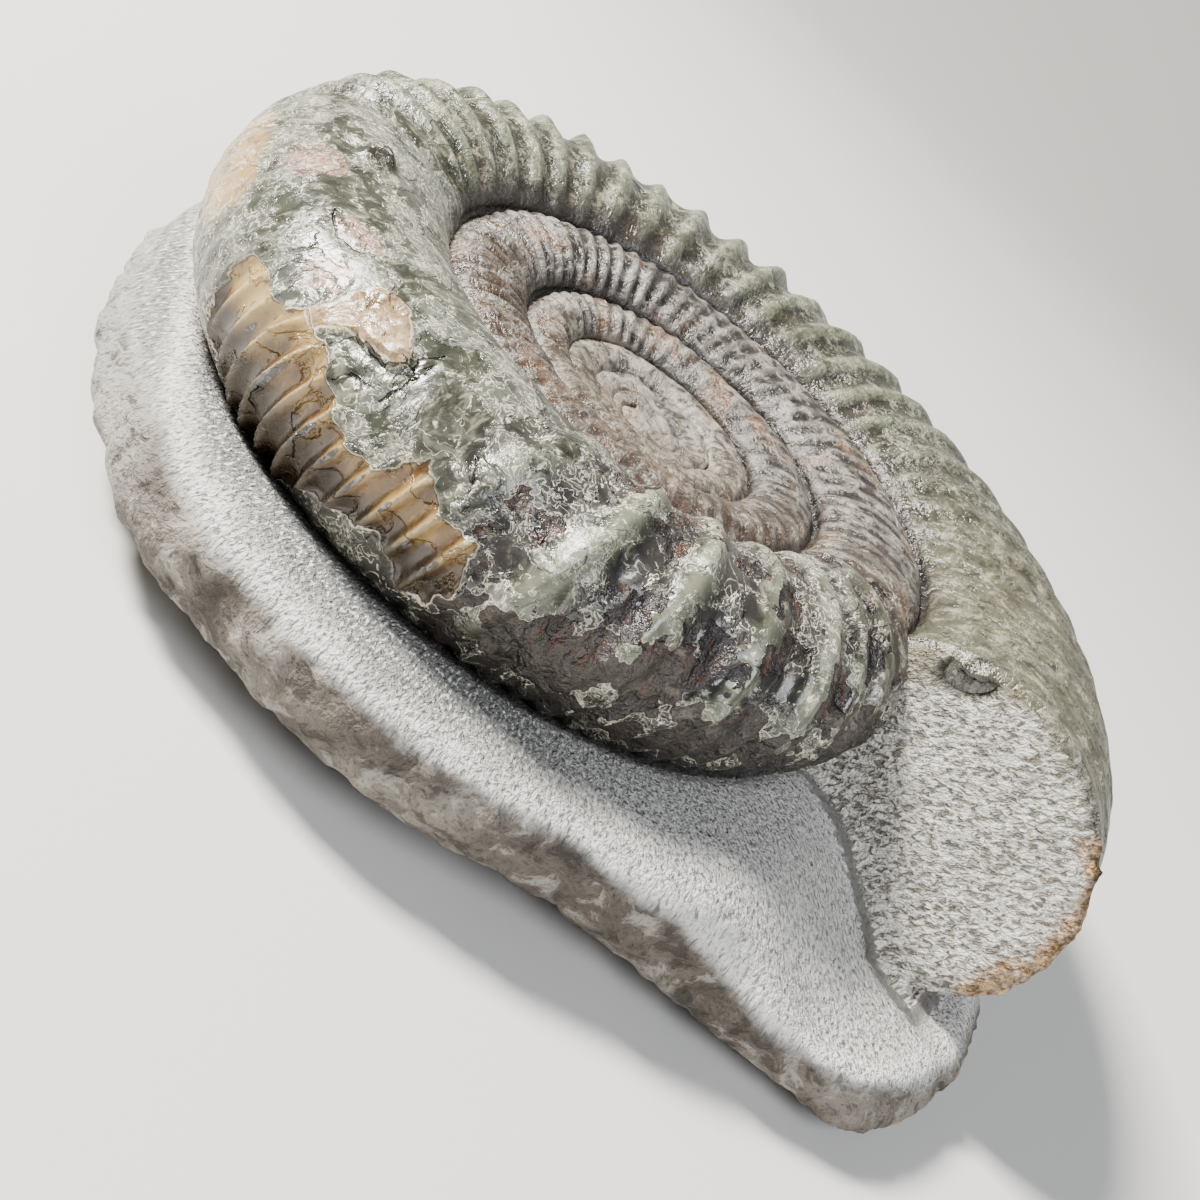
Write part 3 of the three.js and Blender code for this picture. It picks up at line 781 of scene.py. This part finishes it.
BROWN_LAYER = outline([
    (4.205, 2), (4.212, 11), (4.221, 20), (4.284, 22), (4.337, 20), (4.386, 22), (4.427, 30), (4.464, 27),
    (4.50, 30), (4.522, 25), (4.566, 19), (4.618, 17), (4.624, 12), (4.656, 11), (4.683, 8), (4.711, 10),
    (4.743, 10), (4.763, 14), (4.782, 22), (4.802, 30), (4.851, 24), (4.903, 16), (4.966, 18), (4.985, 8),
    (4.993, -8), (4.960, -23), (4.924, -27), (4.870, -21), (4.841, -11), (4.793, -13), (4.749, -18),
    (4.722, -18), (4.681, -23), (4.651, -25), (4.60, -40), (4.50, -52), (4.40, -52), (4.30, -40),
    (4.22, -26)])
TORN_FLAKE = outline([
    (4.417, 29), (4.435, 42), (4.424, 53), (4.438, 61), (4.484, 67), (4.509, 68), (4.547, 63), (4.597, 55),
    (4.640, 51), (4.622, 46), (4.588, 44), (4.550, 41), (4.525, 41), (4.498, 37), (4.472, 30), (4.455, 27)])
tears = 0.42 * ragged(spot, 1.6, 21, 3)
near_side = (t > 3.2) & (t < 6.4)
brown = np.where(near_side, in_outline(BROWN_LAYER) + tears, -9)
torn = np.where(near_side, in_outline(TORN_FLAKE) + 0.6 * tears, -9)
granular = in_oval(4.355, 45, 1.9, 1.5, 20) + 0.8 * tears
grey_oval = in_oval(4.345, 35, 2.9, 2.6) + 0.6 * tears
upper_pink = in_oval(4.265, 66, 2.3, 1.2, 20) + 0.8 * tears
mauve = in_oval(3.98, 58, 2.6, 2.2) + 1.2 * tears
tan_edge = in_oval(3.82, 14, 8.5, 3.6) + 1.5 * tears
smooth_dark = in_oval(4.09, 30, 2.4, 3.4, -15) + 1.0 * tears
knob = in_oval(3.885, 85, 2.0, 1.4) + 0.5 * tears

# The dark rough stone between what is left of the shell, on the lower part of the near whorl
rough_zone = ease(t, 4.85, 5.15) * fade(t, 6.25, 6.5) * (1 - 0.55 * ease(degrees, 35, 80))
bare = ragged(spot, 4.2, 31, 4) + 0.55 * ragged(spot, 1.5, 32, 3) + 0.55 * (rough_zone - 0.5)
bare -= 0.28 * bell(degrees, 58, 18) + 0.5 * broad * ease(degrees, 5, 30)
in_zone = ease(t, 4.75, 5.0) * fade(t, 6.3, 6.6)
bare = bare * in_zone - 0.5 * (1 - in_zone)
bare = np.where((brown > -0.3) | (t < 4.6), np.minimum(bare, -0.2), bare)
bare_depth = ease(bare, -0.02, 0.10)

# Hair cracks, each a line of t and psi that is followed along t or up psi
CRACKS = (
    ("along", [(4.50, 27), (4.508, 30), (4.517, 41), (4.546, 41), (4.577, 42), (4.619, 45), (4.636, 51)]),
    ("up", [(4.645, 48), (4.625, 57), (4.640, 66)]),
    ("up", [(4.655, 31), (4.661, 44), (4.654, 56), (4.636, 66)]),
    ("along", [(4.175, 60), (4.181, 59), (4.258, 57), (4.310, 61), (4.332, 71), (4.352, 84)]),
    ("along", [(4.569, 22), (4.577, 29), (4.604, 32), (4.629, 32)]),
    ("up", [(4.90, 30), (4.885, 38), (4.862, 45)]),
    ("up", [(4.463, -8), (4.450, -14), (4.446, -20), (4.452, -27)]),
)
wobble = 0.22 * ragged(spot, 0.9, 24, 3)
crack_off = np.full(t.shape, 9.0)
crack_here = np.zeros(t.shape)
for way, points in CRACKS:
    line = outline(points)
    follow, off = flat_x, flat_y
    if way == "up":
        line = line[:, ::-1]
        follow, off = flat_y, flat_x
    line = line[np.argsort(line[:, 0])]
    off = off + wobble - np.interp(follow, line[:, 0], line[:, 1])
    start, end = line[0, 0], line[-1, 0]
    here = ease(follow, start - 0.3, start + 0.3) * fade(follow, end - 0.3, end + 0.3)
    here = here * fade(np.abs(off), 0.6, 1.0) * near_side
    crack_off = np.where(here > crack_here, off, crack_off)
    crack_here = np.maximum(crack_here, here)

# The brown layer lies lower than the outer one, and each of its ribs rises to a sharp scalloped crest, on
# which a highlight is painted.
brown_in = ease(brown, -0.12, 0.14)
torn_in = ease(torn, -0.12, 0.14)
scallop = (1 - np.abs(rib_place - np.round(rib_place)) * 2) ** 2.1
rib_fade = blend(1, 0.5, ease(-t, -4.42, -4.25)) * fade(degrees, 12, 34)
# Long lens-shaped scars on some of its ribs: which rib, the middle of the scar and half its length in degrees
SCARS = (
    (-5.7, 2, 5), (-3.9, -1, 14), (-1.95, -3, 9), (-1, -1, 7),
    (0, 0, 8), (1, 4, 4), (2.15, -4, 5), (3, -3, 5))
SCAR_WIDTH = 0.085
scar = np.full(t.shape, -9.0)
for rib_number, at, half_length in SCARS:
    off_middle = np.hypot((rib_place - rib_number) / SCAR_WIDTH, (degrees - at) / half_length)
    scar = np.maximum(scar, 1 - off_middle)
brown_lift = -0.62 + 1.05 * scallop * rib_fade * blend(1, uneven, 0.4) + 0.4 * ease(degrees, 8, 30)
lift = blend(lift, brown_lift, brown_in)
lift += 0.12 * ease(scar, 0, 0.4) * brown_in
lift -= 0.28 * crack_here * bell(crack_off, 0, 0.2)
torn_lift = 0.12 + 0.30 * ragged(spot, 1.5, 22, 3) + 0.40 * ease(degrees, 64, 40) * ease(t, 4.47, 4.56)
lift += torn_in * torn_lift
lift += (0.16 * bell(torn, 0.25, 0.3) - 0.18 * bell(torn, -0.22, 0.2)) * ease(t, 4.46, 4.50)
lift += 0.06 * bell(brown, -0.15, 0.18)
lift += bare_depth * (0.16 * ragged(spot, 0.9, 33, 3) - 0.15)
lift += ease(knob, -0.4, 0.8) * (0.5 + 0.9 * ragged(spot, 1.1, 23, 2))
lift -= 0.12 * ease(granular, -0.2, 0.2)
rugged = outer * ease(t, 0.9, 1.4) * fade(t, 2.7, 3.1) * ease(degrees, 50, 70)
rugged = blend(0.4, 1.6, rugged) + 0.6 * ease(t, 4.7, 5.0)
worn = 0.16 * ragged(spot, 5.5, 41, 2) + 0.07 * rugged * ragged(spot, 1.7, 42, 2)
lift += worn * (1 - 0.5 * brown_in) * blend(1, 0.6, inner)
lift = np.where((beyond > 0) | (row == 0), 0, lift) * ease(t, -0.01, 0.12)

place = spot + facing * lift[:, None]
# The innermost whorls are worn almost flat.
top_skin = (beyond == 0) | (row == SEEN_ROWS + HIDDEN_ROWS)
worn_heart = 0.72 * ease(t, 2.7 * TURN, 3.9 * TURN) * top_skin
heart_height = 2.7 + 0.021 * (place[:, 0] ** 2 + place[:, 1] ** 2) + 0.45 * ragged(spot, 2.6, 16, 3)
place[:, 2] = blend(place[:, 2], heart_height, worn_heart)
place = np.clip(place, low_corner + 0.02, high_corner - 0.02)
shell_mesh.vertices.foreach_set("co", ((place + axis_mm) * MM).ravel())

# What the shell's material reads at each point
golden = ease(-t, -4.46, -4.28) * ease(degrees, -12, 12) + 0.5 * ease(degrees, 10, 26) * fade(t, 4.4, 4.8)
far_crest = main * blend(0.4, 1, ease(t, 0.8, 1.6)) * fade(t, 3.3, 3.7)
crest = np.where(t < TURN, np.where(t < 4.72, far_crest, broad), main * uneven)
# The far whorl's inner flank next to the seam is darker stone, with painted shade where it faces away from the
# lamp.
dark_and_shaded_flank = outer * far_side * fade(t, 3.5, 3.9) * ease(t, 0.9, 1.8) * fade(seam_mm, 1.5, 4.5)
shell_paint = {
    "brown_layer": brown,
    "torn_flake": torn,
    "bare_stone": bare,
    "golden": golden,
    "granular": granular,
    "grey_oval": grey_oval,
    "pinkish": np.maximum(upper_pink, mauve),
    "tan_edge": tan_edge,
    "knob": knob,
    # Rib crests, on which highlights are painted, with painted shade in the hollows between
    "rib_light_and_shade": np.clip(crest, 0, 1),
    "scallop": scallop,
    "scar": scar,
    "inner_whorls": inner,
    "far_whorl": outer * fade(t, 3.3, 3.7),
    "from_seam": seam_mm,
    # Painted shade along the seams, strongest on the far side where each whorl overhangs the next, and fading
    # towards the middle
    "seam_shade": blend(0.25, 1, far_side) * fade(t, 2.2 * TURN, 2.9 * TURN),
    "dark_and_shaded_flank": dark_and_shaded_flank,
    "smooth_end": fade(t, 0.6, 1.2),
    "rough_zone": ease(t, 4.7, 5.0) * fade(t, 6.3, 6.5),
    "heart": ease(t, 2.0 * TURN, 3.0 * TURN),
    "near_inner": inner * (1 - far_side),
    "smooth_dark": smooth_dark,
    "crack_off": crack_off,
    "crack_here": crack_here,
    "outer_rim": fade(degrees, 15, 58) * outer * ease(t, 0.2, 0.5) * fade(t, 1.9, 2.6),
    # The near whorl's lower side: dark stone, with painted shade where it faces down to the slab
    "low_side_dark_and_shaded": fade(degrees, -26, 24) * (t < TURN),
    "growth_along": t * 30,
    "growth_across": psi * whorl_wide,
}
paint(shell_mesh, shell_paint)

WELD_GAP = 2e-6
whole = bmesh.new()
whole.from_mesh(shell_mesh)
bmesh.ops.remove_doubles(whole, verts=[v for v in whole.verts if v.is_boundary], dist=WELD_GAP)
bmesh.ops.holes_fill(whole, edges=[e for e in whole.edges if e.is_boundary], sides=0)
# A small plug of stone closes the middle of the coil.
nearest = min(whole.verts, key=lambda v: (v.co.xy - COIL_AXIS.xy).length)
plug = bmesh.ops.create_uvsphere(whole, u_segments=40, v_segments=20, radius=1.0)["verts"]
for vert in plug:
    vert.co = COIL_AXIS + Vector((vert.co.x * 2.6, vert.co.y * 2.6, vert.co.z * 1.3 + 1.25)) * MM
    for layer in whole.verts.layers.float.values():
        vert[layer] = nearest[layer]
bmesh.ops.recalc_face_normals(whole, faces=whole.faces)
whole.to_mesh(shell_mesh)
whole.free()

# The glossy layer is calcite with an oily sheen, clouded cream and olive. Bare layers under it are duller.
fossil_shell = new_material("polished_fossil_shell")
shell_on = {
    name: add_node(fossil_shell, "Attribute", out="Fac", attribute_name=name) for name in shell_paint}
shell_at = add_node(fossil_shell, "TexCoord", out="Object")
growth = add_node(
    fossil_shell, "CombineXYZ", {"X": shell_on["growth_along"], "Y": shell_on["growth_across"]})
streaked = add_node(fossil_shell, "Mapping", {"Vector": growth, "Scale": (1.0, 0.28, 1)})
# The curls and plates lie on a place that is pushed about by up to 2 mm, so that none is round or straight.
warp = add_node(
    fossil_shell, "TexNoise", {"Vector": shell_at, "Scale": 420.0, "Detail": 3.0}, out="Color")
shifted = add_node(fossil_shell, "VectorMath", {0: warp, "Scale": 0.0022}, operation="SCALE")
warped = add_node(fossil_shell, "VectorMath", {0: shell_at, 1: shifted}, operation="ADD")
# The clouds that colour it: the scale, detail, roughness and swirl of each. Scales are in repeats for each
# metre, which gives clouds of 5.3 mm, mottles of 1.6 mm, grit of 0.4 mm, curls of 1.9 and 0.8 mm and plates
# of 4.8 mm. The grit is coarser than the real 0.1 mm, to show in the render. Streaks are in repeats for each
# millimetre, 0.7 mm wide and 2.5 mm long.
clouds, mottle, grit, streaks, curls, small_curls = (
    add_node(fossil_shell, "TexNoise", {
        "Vector": source, "Scale": scale, "Detail": detail, "Roughness": roughness, "Distortion": swirl})
    for source, scale, detail, roughness, swirl in (
        (shell_at, 190.0, 5.0, 0.6, 0.4),
        (shell_at, 620.0, 4.0, 0.65, 0.6),
        (shell_at, 2400.0, 3.0, 0.6, 0.0),
        (streaked, 1.4, 4.0, 0.6, 0.3),
        (warped, 520.0, 2.0, 0.5, 1.5),
        (warped, 1300.0, 2.0, 0.5, 1.0),
    ))
plates = add_node(
    fossil_shell, "TexVoronoi", {"Vector": warped, "Scale": 210.0}, out="Distance",
    feature="DISTANCE_TO_EDGE")


def thin_line(value, at, width):
    """What limits a colour to a thin line where a cloudy value crosses a level, like the edge of a flake."""
    off = work_out(fossil_shell, value, ("SUBTRACT", at), ("ABSOLUTE",))
    return off, width, width * 0.3


# Where each layer, line and stain shows
outer_only = work_out(fossil_shell, 1.0, ("SUBTRACT", shell_on["inner_whorls"]))
not_far = work_out(fossil_shell, 1.0, ("SUBTRACT", shell_on["far_whorl"]))
near_only = share_of(fossil_shell, outer_only, not_far)
off_crack = work_out(fossil_shell, shell_on["crack_off"], ("ABSOLUTE",))
named_crack = share_of(fossil_shell, (off_crack, 0.12, 0.05), (shell_on["crack_here"], 0.2, 0.5))
fine_crack = share_of(
    fossil_shell, (plates, 0.016, 0.003), (clouds, 0.62, 0.68), outer_only,
    (shell_on["brown_layer"], 0.0, -0.3))
crack = work_out(fossil_shell, fine_crack, ("MAXIMUM", named_crack))
flake = share_of(fossil_shell, (clouds, 0.475, 0.525))
large_curl = share_of(fossil_shell, thin_line(curls, 0.5, 0.016), (mottle, 0.46, 0.54))
pale_edge = work_out(
    fossil_shell, large_curl,
    ("MAXIMUM", thin_line(small_curls, 0.5, 0.03), (clouds, 0.48, 0.56)),
    ("MULTIPLY", (near_only, 0.0, 1.0, 0.25, 0.65)),
    ("MAXIMUM", thin_line(clouds, 0.488, 0.006), near_only, (mottle, 0.46, 0.54)))
fine_tear = work_out(fossil_shell, mottle, ("SUBTRACT", 0.5), ("MULTIPLY", 0.7))
bare_value = work_out(fossil_shell, shell_on["bare_stone"], ("ADD", fine_tear, 1.1))
brown_value = work_out(fossil_shell, shell_on["brown_layer"], ("ADD", fine_tear))
torn_value = work_out(fossil_shell, shell_on["torn_flake"], ("ADD", fine_tear))
coarse_tear = work_out(fossil_shell, mottle, ("SUBTRACT", 0.5), ("MULTIPLY", 0.8))
scar_value = work_out(fossil_shell, shell_on["scar"], ("ADD", coarse_tear))
bare_here = share_of(fossil_shell, (bare_value, 0.0, 0.04))
brown_here = share_of(fossil_shell, (brown_value, -0.03, 0.05))
torn_here = share_of(fossil_shell, (torn_value, -0.03, 0.05))
brown_lip = share_of(fossil_shell, (brown_value, -0.14, -0.07), (brown_value, 0.01, -0.04))
lip = work_out(fossil_shell, brown_lip, ("MAXIMUM", (torn_value, 0.16, 0.08), (torn_value, -0.01, 0.04)))

# Painted highlights on rib crests and painted shade in the hollows between them
rib = shell_on["rib_light_and_shade"]
outer_layer = coat(fossil_shell, "#3f4136", (
    ("#62655a", flake),
    ("#918f7b", (mottle, 0.50, 0.62, 0.0, 0.38)),
    ("#a9a48c", (streaks, 0.56, 0.66, 0.0, 0.5)),
    ("#1f1f1a", (mottle, 0.46, 0.37), (shell_on["rough_zone"], 0.0, 1.0, 0.55, 0.85)),
    ("#2f2b2d", shell_on["rough_zone"], (rib, 0.5, 0.1, 0.0, 0.75)),
    ("#949781", (rib, 0.45, 1.0, 0.0, 0.5)),
))
far_layer = coat(fossil_shell, "#26271f", (
    ("#6c705c", (rib, 0.2, 0.85)),
    ("#605e4a", shell_on["smooth_end"], 0.7),
    ("#a8a388", (mottle, 0.54, 0.64, 0.0, 0.55)),
    ("#25241e", (mottle, 0.47, 0.37, 0.0, 0.8)),
    ("#413c31", (clouds, 0.46, 0.38, 0.0, 0.65)),
))
inner_layer = coat(fossil_shell, "#2d2a28", (
    ("#67625c", (rib, 0.15, 0.8)),
    ("#97928a", (mottle, 0.52, 0.62, 0.0, 0.7)),
    ("#211c18", (mottle, 0.48, 0.38, 0.0, 0.75)),
    ("#80583a", (clouds, 0.54, 0.62, 0.0, 0.45)),
    ("#a39c8b", shell_on["heart"], (mottle, 0.42, 0.56, 0.1, 0.6)),
    ("#4a382a", shell_on["near_inner"], (streaks, 0.58, 0.46, 0.1, 0.7)),
))
bare_colour = coat(fossil_shell, "#1f1a1a", (
    ("#413830", (clouds, 0.42, 0.60)),
    ("#5a3323", (streaks, 0.54, 0.66, 0.0, 0.7)),
    ("#8d8475", (mottle, 0.55, 0.68, 0.0, 0.6)),
    # Dark stone and painted shade on the lower side
    ("#21180e", shell_on["low_side_dark_and_shaded"], 0.8),
    ("#161311", (grit, 0.48, 0.36, 0.0, 0.8)),
))
scar_colour = coat(fossil_shell, "#4b4645", (("#9b958f", (grit, 0.46, 0.58)),))
brown_colour = coat(fossil_shell, "#50381b", (
    ("#7d5f35", (clouds, 0.40, 0.60)),
    ("#ae9056", shell_on["golden"]),
    ("#b99c64", (streaks, 0.50, 0.66, 0.0, 0.45)),
    ("#3f2c1a", (streaks, 0.46, 0.34, 0.0, 0.45)),
    # Painted highlight, growing towards each brown rib's crest and brightest along it
    ("#bda26c", (shell_on["scallop"], 0.25, 0.9, 0.0, 0.55)),
    ("#dfd0a6", (shell_on["scallop"], 0.80, 0.97, 0.0, 0.6)),
    ("#3a2c20", (scar_value, -0.12, 0.0, 0.0, 0.8)),
    (scar_colour, (scar_value, 0.05, 0.2)),
    # Dark stone and painted shade on the lower side
    ("#251a0d", (shell_on["low_side_dark_and_shaded"], 0.25, 0.8, 0.0, 0.9)),
))
torn_colour = coat(fossil_shell, "#7f6a52", (
    ("#b59c7e", (mottle, 0.42, 0.56)),
    ("#a98d5a", shell_on["golden"], 0.8),
    ("#5d4633", (streaks, 0.48, 0.40, 0.0, 0.6)),
    ("#6b4a33", (grit, 0.46, 0.38, 0.0, 0.5)),
))
colour = coat(fossil_shell, outer_layer, (
    (far_layer, shell_on["far_whorl"], 0.9),
    ("#8f7148", shell_on["outer_rim"], (clouds, 0.44, 0.54), 0.75),
    (inner_layer, shell_on["inner_whorls"]),
    # Dark stone and painted shade on the near whorl's lower side
    ("#1f1810", shell_on["low_side_dark_and_shaded"], (clouds, 0.3, 0.6, 0.95, 0.75)),
    ("#3f4336", (shell_on["smooth_dark"], -0.2, 0.3), 0.85),
    ("#a5834e", (shell_on["tan_edge"], -0.5, 0.8), (mottle, 0.38, 0.52, 0.35, 0.95)),
    ("#917061", (shell_on["pinkish"], -0.2, 0.3), (mottle, 0.42, 0.52, 0.35, 0.9)),
    ("#51534d", (shell_on["grey_oval"], -0.1, 0.2, 0.0, 0.85)),
    ("#b8998a", (shell_on["granular"], -0.2, 0.2), (grit, 0.46, 0.52, 0.1, 1.0)),
    ("#33302b", (shell_on["knob"], -0.2, 0.3, 0.0, 0.9)),
    ("#ebe6d2", pale_edge),
    (bare_colour, bare_here),
    ("#c4bea6", (bare_value, -0.045, -0.02), (bare_value, 0.01, -0.005), (clouds, 0.44, 0.54, 0.0, 0.9)),
    (brown_colour, brown_here),
    (torn_colour, torn_here),
    ("#e2d6b6", lip, (clouds, 0.42, 0.54, 0.2, 0.9)),
    # A dark band just inside the brown layer's edge, below the step from the outer layer: a crack line with
    # painted shadow
    ("#2a1d10", (brown_value, 0.16, 0.04), (brown_value, -0.03, 0.02), 0.55),
    ("#15120f", crack, 0.9),
    # Darker stone and painted shade on the far whorl's inner flank
    ("#37322f", shell_on["dark_and_shaded_flank"], (mottle, 0.3, 0.6, 0.95, 0.7)),
    # Painted shade along the seams between whorls, near black in the crack
    ("#38302c", (shell_on["from_seam"], 2.4, 0.4, 0.0, 0.6), shell_on["seam_shade"]),
    ("#120f0b", (shell_on["from_seam"], 0.75, 0.25, 0.0, 0.95), shell_on["seam_shade"]),
))

# Bare stone and the inner whorls are rough. The outer layer is smooth, and a little proud of what it flaked
# from.
rough_here = work_out(
    fossil_shell, bare_here,
    ("MAXIMUM", shell_on["inner_whorls"], 0.55),
    ("MAXIMUM", shell_on["far_whorl"], 0.45),
    ("MULTIPLY", 0.7),
    ("ADD", (flake, 0.0, 1.0, 0.11, 0.21)),
    ("SUBTRACT", brown_here, 0.08))
height = work_out(
    fossil_shell, mottle,
    ("ADD", streaks, 0.35),
    ("ADD", grit, 0.31),
    ("MULTIPLY", rough_here),
    ("ADD", flake, near_only, 0.16),
    ("SUBTRACT", bare_here, 0.22),
    ("SUBTRACT", named_crack, 0.5))
relief = add_node(fossil_shell, "Bump", {"Height": height, "Strength": 1.0, "Distance": 0.0008})
bare_gloss = share_of(fossil_shell, (bare_value, 0.0, 0.05))
dull = work_out(fossil_shell, bare_gloss, ("MAXIMUM", shell_on["inner_whorls"], 0.6))
sheen = share_of(fossil_shell, (mottle, 0.35, 0.65, 0.18, 0.38))
gloss = work_out(fossil_shell, sheen, ("ADD", dull, 0.10))
shell_shader = add_node(fossil_shell, "BsdfPrincipled", {
    "Base Color": colour, "Normal": relief, "Roughness": gloss, "IOR": 1.65})
add_node(fossil_shell, "OutputMaterial", {"Surface": shell_shader})

shell = finish_piece(shell_mesh, fossil_shell)
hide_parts("ammonite_shell")
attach(shell, "root")
